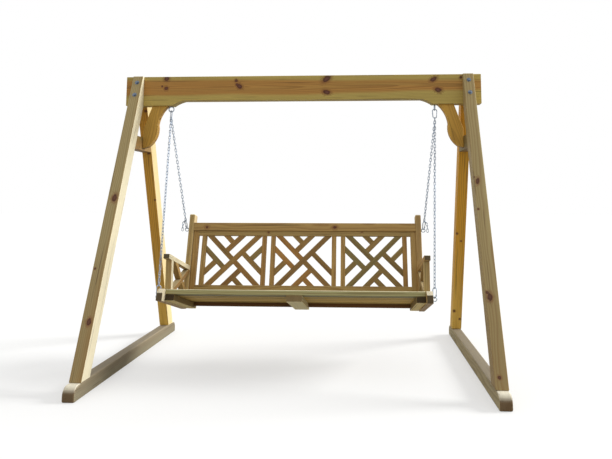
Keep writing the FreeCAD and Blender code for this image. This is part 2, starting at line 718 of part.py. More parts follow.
low_centre = hook_low
top_centre = hook_low + hook_span
gate_low = on_ring(low_centre, hook_low, -flank)
gate_top = on_ring(top_centre, hook_top, -flank)
spine_low = on_ring(low_centre, hook_low, math.pi + flank)
spine_top = on_ring(top_centre, hook_top, math.pi + flank)
hook_wire = Part.Wire([
    Part.Arc(gate_top, on_ring(top_centre, hook_top, math.pi / 2), spine_top).toShape(),
    Part.LineSegment(spine_top, spine_low).toShape(),
    Part.Arc(spine_low, on_ring(low_centre, hook_low, -math.pi / 2), gate_low).toShape(),
])
gate_way = (gate_top - gate_low).normalize()
gate_length = (gate_top - gate_low).Length
pivot_set = d.ear_length / 2 + d.gate_clearance
pivot = gate_low + gate_way * pivot_set


def round_bar(wire, radius, start, along):
    ring = Part.Wire(Part.Circle(start, along, radius).toShape())
    return wire.makePipeShell([ring], True, False)


hook_bow = round_bar(hook_wire, d.hook_wire / 2, gate_top, gate_way)
ear_inner = d.gate_wire / 2 + d.gate_clearance / 2
ear_turn = Rotation(gate_way, Vector(gate_way.y, -gate_way.x, 0) * -1, Z_AXIS)
ear_reach = pivot_set + d.ear_length / 2
hook_solid = hook_bow
for face in (ear_inner, -ear_inner - d.ear_thickness):
    ear = Part.makeBox(ear_reach, d.gate_wire, d.ear_thickness, Vector(0, -d.gate_wire / 2, face))
    hook_solid = hook_solid.fuse(moved(ear, Placement(gate_low, ear_turn)))
rivet_length = 2 * (ear_inner + d.ear_thickness)
rivet = Part.makeCylinder(d.gate_pin_radius, rivet_length, Vector(pivot.x, pivot.y, -rivet_length / 2))
hook_solid = hook_solid.fuse(rivet).removeSplitter()
gate = Part.makeCylinder(d.gate_wire / 2, gate_length - 2 * d.gate_clearance,
                         gate_low + gate_way * d.gate_clearance, gate_way)
eyelet = Part.makeCylinder(d.gate_pin_radius + d.pin_clearance, d.gate_wire,
                           Vector(pivot.x, pivot.y, -d.gate_wire / 2))
gate_solid = gate.cut(eyelet)

# A chain link is a stadium of round wire: its local y runs along the chain, x across the link.
link_round = (d.link_width - d.link_wire) / 2


def link_solid(pitch):
    half = (pitch + d.link_wire + d.link_clearance) / 2 - link_round
    side = link_round
    tip = half + link_round
    wire = Part.Wire([
        Part.LineSegment(Vector(side, -half, 0), Vector(side, half, 0)).toShape(),
        Part.Arc(Vector(side, half, 0), Vector(0, tip, 0), Vector(-side, half, 0)).toShape(),
        Part.LineSegment(Vector(-side, half, 0), Vector(-side, -half, 0)).toShape(),
        Part.Arc(Vector(-side, -half, 0), Vector(0, -tip, 0), Vector(side, -half, 0)).toShape(),
    ])
    return round_bar(wire, d.link_wire / 2, Vector(side, -half, 0), Y_AXIS)


hooks = []
gates = {}
eyes = {"front": [], "rear": []}
eye_low = eye_z - eye_mean
hook_lift = (d.eye_wire + d.hook_wire) / 2 + d.hang_clearance
swing_axis_z = eye_low + hook_lift / 2
hook_top_z = eye_low + hook_lift
hook_low_z = hook_top_z - hook_reach
link_lift = (d.hook_wire + d.link_wire) / 2 + d.hang_clearance
chain_half = (d.link_wire + d.chain_gap) / 2
join_mean = (d.join_ring_outer - d.link_wire) / 2


def pair_lift(bow_radius, bow_wire):
    # The front and rear chains lie side by side in a bow: how high their first links ride over its low point.
    room = bow_radius - (bow_wire + d.link_wire) / 2 - d.hang_clearance
    return bow_radius - math.sqrt(room ** 2 - chain_half ** 2)


bench_eye_mean = (d.bench_eye_outer - d.bench_eye_wire) / 2
bench_eye_x = side_outer + d.eye_drop + d.bench_eye_outer / 2
for side, sign in SIDES:
    # The left hook hangs in the side plane under the ring that faces front, the right one in the front plane.
    across = Vector(0, -1, 0) if side == "left" else Vector(1, 0, 0)
    hang = Placement(Vector(sign * eye_x, 0, hook_low_z), Rotation(across, Z_AXIS, across.cross(Z_AXIS)))
    hooks.append(moved(hook_solid, hang))
    gates[f"hook_gate_top_{side}"] = (moved(gate_solid, hang), hang)
    # Under the hook that faces front, a ring in the side plane takes both chains.
    chain_z = hook_low_z + pair_lift(hook_low, d.hook_wire)
    if side == "right":
        ring_z = hook_low_z + link_lift - join_mean
        join_ring = bind(doc.addObject("Part::Torus", "join_ring_blank"),
                         Radius1="( join_ring_outer - link_wire ) / 2", Radius2="link_wire / 2")
        join_ring.Placement = at(sign * eye_x, 0, ring_z, aim(X_AXIS))
        finish("joining_ring", join_ring)
        chain_z = ring_z - join_mean + pair_lift(join_mean, d.link_wire)
    for end, way in (("front", -1), ("rear", 1)):
        top = Vector(sign * eye_x, chain_half * way, chain_z)
        if end == "front":
            low = seat.multVec(Vector(sign * bench_eye_x, d.front_eye_set, -d.front_eye_drop))
        else:
            low = back.multVec(Vector(sign * bench_eye_x, rear_eye_y, rear_eye_rise))
        up = (top - low).normalize()
        flat = up.cross(X_AXIS).normalize()
        wide = flat.cross(up) * -1 if flat.cross(up).x < 0 else flat.cross(up)
        # Eye: a ring in the plane of the chain and the X axis, with its shank in the wood.
        ring = bind(doc.addObject("Part::Torus", f"{end}_ring_{side}"),
                    Radius1="( bench_eye_outer - bench_eye_wire ) / 2", Radius2="bench_eye_wire / 2")
        ring.Placement = Placement(low, aim(flat))
        root_x = Vector(-sign * bench_eye_mean, 0, 0)
        shank = rod(f"{end}_shank_{side}", "bench_eye_wire / 2",
                    "bench_eye_shank + eye_drop + bench_eye_wire / 2",
                    Placement(low + root_x, aim(Vector(-sign, 0, 0))))
        eyes[end].append(join(f"{end}_eye_{side}", ring, shank))
        # Lower hook: its foot bow passes through the ring, its wide bow takes the last link.
        hook_foot = low + up * (bench_eye_mean - (d.bench_eye_wire + d.hook_wire) / 2 - d.hang_clearance)
        hook_turn = Rotation(flat, up, flat.cross(up))
        if way * hook_turn.multVec(X_AXIS).y < 0:
            hook_turn = Rotation(flat * -1, up, (flat * -1).cross(up))
        twist = -way * sign * d.hook_turn
        hook_place = Placement(hook_foot, Rotation(up, twist).multiply(hook_turn))
        hooks.append(moved(hook_solid, hook_place))
        gates[f"hook_gate_{end}_{side}"] = (moved(gate_solid, hook_place), hook_place)
        # Links: an odd count from the plane of the turned hook to the plane across the top bow.
        low_tip = hook_foot + up * (hook_reach - link_lift)
        span = (top - low_tip).Length - d.link_wire - d.link_clearance
        count = 2 * round((span / d.link_pitch - 1) / 2) + 1
        pitch = span / count
        solid = link_solid(pitch)
        links = []
        for index in range(count):
            reach = (d.link_wire + d.link_clearance) / 2 + pitch * (index + 0.5)
            x_way = Rotation(up, twist * (1 - index / (count - 1))).multVec(wide if index % 2 == 0 else flat)
            spot = low_tip + up * reach
            links.append(moved(solid, Placement(spot, Rotation(x_way, up, x_way.cross(up)))))
        finish(f"{end}_chain_{side}", group(f"{end}_chain_{side}_links", links))

finish("snap_hooks", group("hook_set", hooks))
for label, (shape, place) in gates.items():
    finish(label, group(label + "_wire", [shape]))
for end, rings in eyes.items():
    ring_set = doc.addObject("Part::Compound", f"{end}_eye_set")
    ring_set.Links = rings
    finish(f"{end}_eyes", ring_set)
for label, solids in screws.items():
    finish(label, group(label + "_set", solids))

doc.recompute()
for item in doc.Objects:
    if "Invalid" in item.State or "Error" in item.State:
        raise RuntimeError(f"{item.Name} did not build: {item.State}")
for label, item in parts.items():
    if item.Label != label:
        raise RuntimeError(f"{item.Label} is not {label}")
    if item.Shape.isNull() or not item.Shape.isValid() or item.Shape.Volume <= 0:
        raise RuntimeError(f"{label} has no valid solid")

os.makedirs("parts", exist_ok=True)
for label, item in parts.items():
    item.Shape.exportStep(f"parts/{label}.step")
print(f"{len(parts)} nodes, swing axis at z {swing_axis_z:.2f}")
for label, (shape, place) in gates.items():
    hinge = place.multVec(pivot)
    turn = place.Rotation.multVec(Z_AXIS)
    print(label, [round(c / 1000, 6) for c in hinge], [round(c, 6) for c in turn])
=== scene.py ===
import json
import math
import random
from functools import partial

import bmesh
import bpy
import numpy as np
from mathutils import Matrix, Vector

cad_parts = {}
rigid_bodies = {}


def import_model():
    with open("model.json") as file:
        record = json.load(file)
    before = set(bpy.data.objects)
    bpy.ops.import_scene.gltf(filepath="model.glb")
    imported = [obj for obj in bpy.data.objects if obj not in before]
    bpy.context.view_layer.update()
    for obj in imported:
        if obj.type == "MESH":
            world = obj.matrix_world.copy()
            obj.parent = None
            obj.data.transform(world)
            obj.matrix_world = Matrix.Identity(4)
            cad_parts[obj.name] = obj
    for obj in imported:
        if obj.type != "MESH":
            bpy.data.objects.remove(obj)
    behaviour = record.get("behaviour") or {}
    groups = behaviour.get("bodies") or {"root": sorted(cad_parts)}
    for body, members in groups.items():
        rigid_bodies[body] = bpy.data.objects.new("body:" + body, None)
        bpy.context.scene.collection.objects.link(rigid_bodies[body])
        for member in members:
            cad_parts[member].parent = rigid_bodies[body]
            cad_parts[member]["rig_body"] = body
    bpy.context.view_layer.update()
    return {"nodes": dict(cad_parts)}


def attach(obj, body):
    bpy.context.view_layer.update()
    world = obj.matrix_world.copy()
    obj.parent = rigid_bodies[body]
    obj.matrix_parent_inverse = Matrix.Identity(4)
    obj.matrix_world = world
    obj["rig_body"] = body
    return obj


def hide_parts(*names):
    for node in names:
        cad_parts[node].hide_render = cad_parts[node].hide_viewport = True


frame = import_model()
nodes = frame["nodes"]
scene = bpy.context.scene
scene.view_settings.view_transform = "Standard"
print("frame loaded:", len(nodes), "nodes")


def linear(hexColour):
    parts = [int(hexColour[i:i + 2], 16) / 255 for i in (1, 3, 5)]
    return tuple(c / 12.92 if c <= 0.04045 else ((c + 0.055) / 1.055) ** 2.4 for c in parts) + (1.0,)


def addNode(tree, kind, inputs=None, **settings):
    node = tree.nodes.new(kind)
    for key, value in settings.items():
        setattr(node, key, value)
    for socket, value in (inputs or {}).items():
        if isinstance(value, bpy.types.NodeSocket):
            tree.links.new(value, node.inputs[socket])
        else:
            node.inputs[socket].default_value = value
    return node.outputs


def newMaterial(name):
    material = bpy.data.materials.new(name)
    material.use_nodes = True
    material.node_tree.nodes.clear()
    return material, partial(addNode, material.node_tree)


# Pressure-treated pine, planed: greenish sapwood, red-brown heartwood, dark-rimmed knots with the grain bent
# round them, a soft satin face with raised latewood. Faces that look up get sun bleaching with painted top light,
# faces turned to the key lamp get painted sunlight (painted shade on the feet), arrises get wear with a painted
# highlight, on the slats painted shade instead, undersides and narrow edges get painted shade and the bearers'
# undersides painted bounce light, and end grain is dark, painted shade on some sets and painted light on the
# posts' tops. Sizes are in millimetres, a share is how strongly a colour is laid on, and a turn is a cosine.
pineLook = {
    "sap": "#b3a26c", "honey": "#c08a3a", "heart": "#ac7b45", "late": "#7d5428", "check": "#4d3a24",
    "rim": "#46201d", "core": "#7d5145", "halo": "#7f4a2c", "endGrain": "#6d5836", "bleachAndTopLight": "#dccfa2",
    "lowTone": "#7b5a33", "capHighlight": "#efe8d2", "under": "#7b5a33", "paintedSideLight": "#e6dec0",
    "ringMm": 8.0,  # real rings are 3 to 5 mm apart, drawn coarser so that they show
    "ringRise": (0.25, 0.85), "ringFall": (0.9, 1.0), "ringShare": 0.42,
    "fibreMm": (90.0, 2.4), "streakMm": (900.0, 26.0), "checkMm": (420.0, 9.0), "roughMm": (14.0, 9.0),
    "wobbleMm": (520.0, 150.0), "wobbleReachMm": 20.0, "bendMm": 12.0,
    "boardShift": (91.7, 53.3, 17.9), "pithDraw": (7.31, 3.17),  # each board is cut from another place in the log
    "pithSideMm": (-55.0, 55.0), "pithDepthMm": (30.0, 85.0), "pithDrift": 0.0, "pithTaper": 0.012,
    "heartMm": (49.0, 67.0), "heartShare": 0.75, "heartStreak": 0.7, "endShare": 0.6,
    "lowToneFromMm": 20.0, "lowToneMm": 450.0, "lowToneShare": 0.0, "capMm": (0.0, 1.0), "capShare": 0.0,
    "skyTurn": (0.3, 0.95), "bleachAndTopLightShare": 0.45, "underTurn": (-0.9, -0.3), "underShare": 0.0,
    "sunTurn": (0.5, 0.95), "sunShare": 0.0, "checkLevel": (0.69, 0.72), "checkShare": 0.5,
    "knotGridMm": (300.0, 85.0), "knotMm": (4.0, 10.0), "knotLeastMm": 0.05, "knotChance": 0.35, "knots": (),
    "knotRough": 0.7, "rimEdge": (0.75, 1.1), "rimShare": 0.85, "coreEdge": (0.3, 0.65), "coreShare": 0.7,
    "haloEdge": (0.9, 2.2), "haloShare": 0.5,
    "boardLight": (0.86, 1.14), "fibreLight": 0.34, "streakLight": 0.3, "arrisWearAndLight": 0.12, "underPaintedLight": -0.2,
    "edgePaintedLight": 0.0, "roughness": (0.52, 0.74), "fibreGloss": (0.2, 0.8), "specular": 0.25, "ior": 1.5,
    "bumpMm": 0.5, "bumpStrength": 0.6, "lateRelief": 0.35, "checkRelief": -0.9, "knotRelief": 0.4,
}


def treatedPine(name, **changes):
    look = {**pineLook, **changes}
    material, add = newMaterial(name)

    # Written on each board: the place on it in metres (x along, y across, z through it), its seed, its warmth and
    # how its faces lie.
    grain = add("ShaderNodeAttribute", attribute_name="grain")["Vector"]
    board, warmth, endFace, edgeFace, arris, sky, sun = (
        add("ShaderNodeAttribute", attribute_name=key)["Fac"]
        for key in ("board", "warmth", "endGrain", "edge", "arris", "sky", "sun"))
    place = add("ShaderNodeTexCoord")["Object"]
    shift = add("ShaderNodeVectorMath", {0: look["boardShift"], "Scale": board}, operation="SCALE")[0]
    spread = {}
    for key in ("knotGridMm", "roughMm", "wobbleMm", "fibreMm", "streakMm", "checkMm"):
        along, across = look[key]
        scaled = add("ShaderNodeVectorMath", {0: grain, 1: (1000 / along, 1000 / across, 1000 / across)},
                     operation="MULTIPLY")[0]
        spread[key] = add("ShaderNodeVectorMath", {0: scaled, 1: shift}, operation="ADD")[0]

    # Knots: a loose scatter of branch stubs, and the ones that the photograph shows. What counts is the distance
    # from the nearest one as a share of its radius.
    along, across = look["knotGridMm"]
    stub = add("ShaderNodeTexVoronoi", {"Vector": spread["knotGridMm"], "Scale": 1.0, "Randomness": 1.0})
    away = add("ShaderNodeVectorMath", {0: stub["Position"], 1: spread["knotGridMm"]}, operation="SUBTRACT")[0]
    away = add("ShaderNodeVectorMath", {0: away, 1: (along / 1000, across / 1000, across / 1000)},
               operation="MULTIPLY")[0]
    away = add("ShaderNodeVectorMath", {0: away}, operation="LENGTH")["Value"]
    chance = add("ShaderNodeSeparateColor", {0: stub["Color"]})
    size = add("ShaderNodeMapRange", {"Value": chance[0], "To Min": look["knotMm"][0] / 1000,
                                      "To Max": look["knotMm"][1] / 1000})[0]
    there = add("ShaderNodeMath", {0: chance[1], 1: look["knotChance"]}, operation="LESS_THAN")[0]
    size = add("ShaderNodeMath", {0: size, 1: there, 2: look["knotLeastMm"] / 1000}, operation="MULTIPLY_ADD")[0]
    knot = add("ShaderNodeMath", {0: away, 1: size}, operation="DIVIDE")[0]
    for spot, radiusMm, stretch, slope in look["knots"]:
        turned = add("ShaderNodeVectorRotate", {"Vector": place, "Center": spot, "Angle": math.radians(slope)},
                     rotation_type="Y_AXIS")[0]
        away = add("ShaderNodeVectorMath", {0: turned, 1: spot}, operation="SUBTRACT")[0]
        shares = (1000 / radiusMm / stretch, 1000 / radiusMm, 1000 / radiusMm)
        away = add("ShaderNodeVectorMath", {0: away, 1: shares}, operation="MULTIPLY")[0]
        away = add("ShaderNodeVectorMath", {0: away}, operation="LENGTH")["Value"]
        knot = add("ShaderNodeMath", {0: knot, 1: away}, operation="MINIMUM")[0]
    rough = add("ShaderNodeTexNoise", {"Vector": spread["roughMm"], "Scale": 1.0, "Detail": 2.0})[0]
    rough = add("ShaderNodeMath", {0: rough, 1: look["knotRough"], 2: -look["knotRough"] / 2},
                operation="MULTIPLY_ADD")[0]
    knot = add("ShaderNodeMath", {0: knot, 1: rough}, operation="ADD")[0]
    rim, core, halo = (
        add("ShaderNodeMapRange", {"Value": knot, "From Min": inner, "From Max": outer, "To Min": most,
                                   "To Max": 0.0}, interpolation_type=fade)[0]
        for (inner, outer), most, fade in ((look["rimEdge"], look["rimShare"], "SMOOTHSTEP"),
                                           (look["coreEdge"], look["coreShare"], "SMOOTHSTEP"),
                                           (look["haloEdge"], 1.0, "SMOOTHERSTEP")))

    # Growth rings round a pith that runs beside the board, bent by a slow wobble and by the knots.
    wobble = add("ShaderNodeTexNoise", {"Vector": spread["wobbleMm"], "Scale": 1.0, "Detail": 1.5})[1]
    wobble = add("ShaderNodeVectorMath", {0: wobble, 1: (0.5, 0.5, 0.5)}, operation="SUBTRACT")[0]
    wobble = add("ShaderNodeVectorMath", {0: wobble, "Scale": 2 * look["wobbleReachMm"] / 1000},
                 operation="SCALE")[0]
    bent = add("ShaderNodeVectorMath", {0: grain, 1: wobble}, operation="ADD")[0]
    pithPlace = []
    for factor, (least, most) in zip(look["pithDraw"], (look["pithSideMm"], look["pithDepthMm"])):
        draw = add("ShaderNodeMath", {0: board, 1: factor}, operation="MULTIPLY")[0]
        draw = add("ShaderNodeMath", {0: draw}, operation="FRACT")[0]
        pithPlace.append(add("ShaderNodeMapRange", {"Value": draw, "To Min": least / 1000,
                                                    "To Max": most / 1000})[0])
    onward = add("ShaderNodeSeparateXYZ", {0: grain})[0]
    depth = add("ShaderNodeMath", {0: onward, 1: look["pithDrift"], 2: pithPlace[1]}, operation="MULTIPLY_ADD")[0]
    pith = add("ShaderNodeCombineXYZ", {1: pithPlace[0], 2: depth})[0]
    fromPith = add("ShaderNodeVectorMath", {0: bent, 1: pith}, operation="SUBTRACT")[0]
    fromPith = add("ShaderNodeVectorMath", {0: fromPith, 1: (look["pithTaper"], 1.0, 1.0)},
                   operation="MULTIPLY")[0]
    radius = add("ShaderNodeVectorMath", {0: fromPith}, operation="LENGTH")["Value"]
    ring = add("ShaderNodeMath", {0: halo, 1: look["bendMm"] / 1000, 2: radius}, operation="MULTIPLY_ADD")[0]
    ring = add("ShaderNodeMath", {0: ring, 1: look["ringMm"] / 1000}, operation="DIVIDE")[0]
    ring = add("ShaderNodeMath", {0: ring}, operation="FRACT")[0]
    rising, falling = (
        add("ShaderNodeMapRange", {"Value": ring, "From Min": start, "From Max": stop, "To Min": first,
                                   "To Max": last}, interpolation_type="SMOOTHSTEP")[0]
        for (start, stop), first, last in ((look["ringRise"], 0.0, 1.0), (look["ringFall"], 1.0, 0.0)))
    latewood = add("ShaderNodeMath", {0: rising, 1: falling}, operation="MULTIPLY")[0]

    fibre = add("ShaderNodeTexNoise", {"Vector": spread["fibreMm"], "Scale": 1.0, "Detail": 3.0,
                                       "Roughness": 0.6})[0]
    streak = add("ShaderNodeTexNoise", {"Vector": spread["streakMm"], "Scale": 1.0, "Detail": 2.0})[0]
    check = add("ShaderNodeTexNoise", {"Vector": spread["checkMm"], "Scale": 1.0, "Detail": 1.0,
                                       "Roughness": 0.4})[0]
    check = add("ShaderNodeMapRange", {"Value": check, "From Min": look["checkLevel"][0],
                                       "From Max": look["checkLevel"][1]})[0]

    # Colour: sapwood to honey by the board's warmth, then heart, latewood, a tone laid on towards the foot, the
    # underside tone (painted bounce light on the bearers), end grain, the bleached top with its painted top
    # light, the painted sunlight on faces turned to the key lamp, the painted highlight on the cap, knots and
    # drying checks over it. The noises average a half, so a share that one of them thins out is doubled.
    heart = add("ShaderNodeMapRange", {"Value": radius, "From Min": look["heartMm"][0] / 1000,
                                       "From Max": look["heartMm"][1] / 1000, "To Min": look["heartShare"],
                                       "To Max": 0.0}, interpolation_type="SMOOTHSTEP")[0]
    heart = add("ShaderNodeMath", {0: streak, 1: look["heartStreak"], 2: heart}, operation="MULTIPLY_ADD")[0]
    heart = add("ShaderNodeMath", {0: heart, 1: look["heartStreak"] / 2}, operation="SUBTRACT", use_clamp=True)[0]
    # Towards the foot of a board a colour is laid on by height, darker on the front legs and paler on the rear
    # legs.
    height = add("ShaderNodeSeparateXYZ", {0: place})[2]
    low = add("ShaderNodeMapRange", {"Value": height, "From Min": look["lowToneFromMm"] / 1000,
                                     "From Max": look["lowToneMm"] / 1000, "To Min": 2 * look["lowToneShare"],
                                     "To Max": 0.0}, interpolation_type="SMOOTHSTEP")[0]
    low = add("ShaderNodeMath", {0: low, 1: streak}, operation="MULTIPLY", use_clamp=True)[0]
    # Painted top light on faces that look up, together with sun bleaching; on the feet this layer is grey,
    # painted shade with weathering. The cap is a painted highlight on the upward faces near a board's end.
    upward = add("ShaderNodeMapRange", {"Value": sky, "From Min": look["skyTurn"][0],
                                        "From Max": look["skyTurn"][1]})[0]
    top = add("ShaderNodeMath", {0: fibre, 1: 2 * look["bleachAndTopLightShare"]}, operation="MULTIPLY")[0]
    top = add("ShaderNodeMath", {0: top, 1: upward}, operation="MULTIPLY", use_clamp=True)[0]
    capHighlight = add("ShaderNodeMath", {0: onward}, operation="ABSOLUTE")[0]
    capHighlight = add("ShaderNodeMapRange", {"Value": capHighlight, "From Min": look["capMm"][0] / 1000,
                                     "From Max": look["capMm"][1] / 1000, "To Max": look["capShare"]})[0]
    capHighlight = add("ShaderNodeMath", {0: capHighlight, 1: upward}, operation="MULTIPLY")[0]
    # Undersides take their own tone, which on the bearers is painted bounce light from the floor.
    under = add("ShaderNodeMapRange", {"Value": sky, "From Min": look["underTurn"][0],
                                       "From Max": look["underTurn"][1], "To Min": 1.0, "To Max": 0.0})[0]
    # Faces turned to the key lamp take painted sunlight; on the feet this colour is painted shade.
    sunward = add("ShaderNodeMapRange", {"Value": sun, "From Min": look["sunTurn"][0],
                                         "From Max": look["sunTurn"][1]})[0]
    late, end, below, paintedSideLight, ringed, cracked = (
        add("ShaderNodeMath", {0: mask, 1: look[key]}, operation="MULTIPLY")[0]
        for mask, key in ((latewood, "ringShare"), (endFace, "endShare"), (under, "underShare"),
                          (sunward, "sunShare"), (halo, "haloShare"), (check, "checkShare")))
    colour = add("ShaderNodeMix", {0: warmth, 6: linear(look["sap"]), 7: linear(look["honey"])},
                 data_type="RGBA")[2]
    for mask, tint in ((heart, "heart"), (late, "late"), (low, "lowTone"), (below, "under"), (end, "endGrain"),
                       (top, "bleachAndTopLight"), (paintedSideLight, "paintedSideLight"), (capHighlight, "capHighlight"), (ringed, "halo"), (rim, "rim"),
                       (core, "core"), (cracked, "check")):
        colour = add("ShaderNodeMix", {0: mask, 6: colour, 7: linear(look[tint])}, data_type="RGBA")[2]

    # Each board differs a little in lightness, and the fibres shade it round that mean. Eased arrises, undersides
    # and narrow edges are lighter or darker by their own amounts. Above zero an amount is a painted highlight (on
    # the arrises partly wear, on the bearers' undersides painted bounce light); below zero it is painted shade.
    meanLight = (look["fibreLight"] + look["streakLight"]) / 2
    light = add("ShaderNodeMapRange", {"Value": board, "To Min": look["boardLight"][0] - meanLight,
                                       "To Max": look["boardLight"][1] - meanLight})[0]
    for mask, key in ((fibre, "fibreLight"), (streak, "streakLight"), (arris, "arrisWearAndLight"),
                      (under, "underPaintedLight"), (edgeFace, "edgePaintedLight")):
        light = add("ShaderNodeMath", {0: mask, 1: look[key], 2: light}, operation="MULTIPLY_ADD")[0]
    colour = add("ShaderNodeVectorMath", {0: colour, "Scale": light}, operation="SCALE")[0]

    relief = fibre
    for mask, key in ((latewood, "lateRelief"), (check, "checkRelief"), (rim, "knotRelief")):
        relief = add("ShaderNodeMath", {0: mask, 1: look[key], 2: relief}, operation="MULTIPLY_ADD")[0]
    bump = add("ShaderNodeBump", {"Height": relief, "Distance": look["bumpMm"] / 1000,
                                  "Strength": look["bumpStrength"]})[0]
    gloss = add("ShaderNodeMapRange", {"Value": fibre, "From Min": look["fibreGloss"][0],
                                       "From Max": look["fibreGloss"][1], "To Min": look["roughness"][0],
                                       "To Max": look["roughness"][1]})[0]
    shader = add("ShaderNodeBsdfPrincipled", {"Base Color": colour, "Roughness": gloss, "Normal": bump,
                                              "IOR": look["ior"], "Specular IOR Level": look["specular"]})[0]
    add("ShaderNodeOutputMaterial", {"Surface": shader})
    return material


# Hot-dip galvanised steel: pale grey zinc with a bluish cast, a fine spangle and dull patches. Sizes are in
# millimetres.
steelLook = {"tint": "#b9c4d2", "shade": "#7d8896", "roughness": (0.28, 0.5), "spangleMm": 2.5, "dullMm": 8.0,
             "spangleShare": 0.35, "dullLevel": (0.35, 0.95), "bumpMm": 0.2, "bumpStrength": 0.3}


def galvanisedSteel(name, **changes):
    look = {**steelLook, **changes}
    material, add = newMaterial(name)
    place = add("ShaderNodeTexCoord")["Object"]
    spangle = add("ShaderNodeTexVoronoi", {"Vector": place, "Scale": 1000 / look["spangleMm"]})["Color"]
    spangle = add("ShaderNodeSeparateColor", {0: spangle})[0]
    dull = add("ShaderNodeTexNoise", {"Vector": place, "Scale": 1000 / look["dullMm"], "Detail": 3.0})[0]
    share = add("ShaderNodeMath", {0: spangle, 1: look["spangleShare"], 2: dull}, operation="MULTIPLY_ADD")[0]
    share = add("ShaderNodeMapRange", {"Value": share, "From Min": look["dullLevel"][0],
                                       "From Max": look["dullLevel"][1]})[0]
    colour = add("ShaderNodeMix", {0: share, 6: linear(look["tint"]), 7: linear(look["shade"])},
                 data_type="RGBA")[2]
    gloss = add("ShaderNodeMapRange", {"Value": share, "To Min": look["roughness"][0],
                                       "To Max": look["roughness"][1]})[0]
    bump = add("ShaderNodeBump", {"Height": dull, "Distance": look["bumpMm"] / 1000,
                                  "Strength": look["bumpStrength"]})[0]
    shader = add("ShaderNodeBsdfPrincipled", {"Base Color": colour, "Roughness": gloss, "Normal": bump,
                                              "Metallic": 1.0})[0]
    add("ShaderNodeOutputMaterial", {"Surface": shader})
    return material


# Knots that the photograph shows: place on the board in metres, radius in mm, stretch along the board, and slope
# in degrees, rising to the right where it is above zero.
beamKnots = (
    ((-0.887, -0.035, 1.787), 16, 1.1, 0), ((-0.888, -0.035, 1.722), 12, 1.1, 0),
    ((-0.915, -0.035, 1.735), 6, 1.0, 0), ((-0.426, -0.035, 1.770), 10, 1.0, 0),
    ((-0.404, -0.035, 1.732), 14, 1.5, -35), ((-0.420, -0.035, 1.744), 9, 1.0, 0),
    ((0.165, -0.035, 1.776), 18, 1.7, 35), ((0.166, -0.035, 1.688), 16, 1.5, -15),
    ((0.853, -0.035, 1.768), 14, 1.7, 30), ((0.880, -0.035, 1.698), 15, 1.6, -15),
    ((1.026, -0.035, 1.779), 8, 1.3, 60),
)
legKnots = (
    ((-1.061, -0.351, 1.008), 24, 0.6, 0), ((-1.089, -0.497, 0.619), 6, 1.0, 0),
    ((-1.061, -0.596, 0.354), 20, 0.6, 0), ((1.056, -0.314, 1.108), 20, 0.5, -12),
    ((1.036, -0.305, 1.131), 6, 1.0, 0), ((1.044, -0.373, 0.949), 6, 1.0, 0),
    ((1.056, -0.543, 0.495), 20, 0.7, 0), ((1.044, -0.535, 0.516), 8, 1.0, 0),
    ((1.061, -0.679, 0.131), 9, 1.0, 0), ((1.042, 0.136, 1.333), 9, 1.0, 0),
    ((1.043, 0.347, 0.768), 8, 1.0, 0), ((1.073, 0.367, 0.716), 6, 1.0, 0),
    ((1.046, 0.556, 0.210), 9, 1.0, 0), ((1.087, 0.578, 0.151), 7, 1.0, 0),
    ((-1.050, 0.041, 1.585), 8, 1.0, 0), ((-1.057, 0.144, 1.312), 9, 1.0, 0),
    ((-1.045, 0.263, 0.994), 6, 1.0, 0),
)
backKnots = (
    ((-0.658, 0.211, 0.810), 11, 1.4, 0), ((0.209, 0.211, 0.812), 12, 1.4, 0),
    ((-0.238, 0.213, 0.775), 9, 1.0, 0), ((0.391, 0.215, 0.783), 8, 1.0, 0),
)
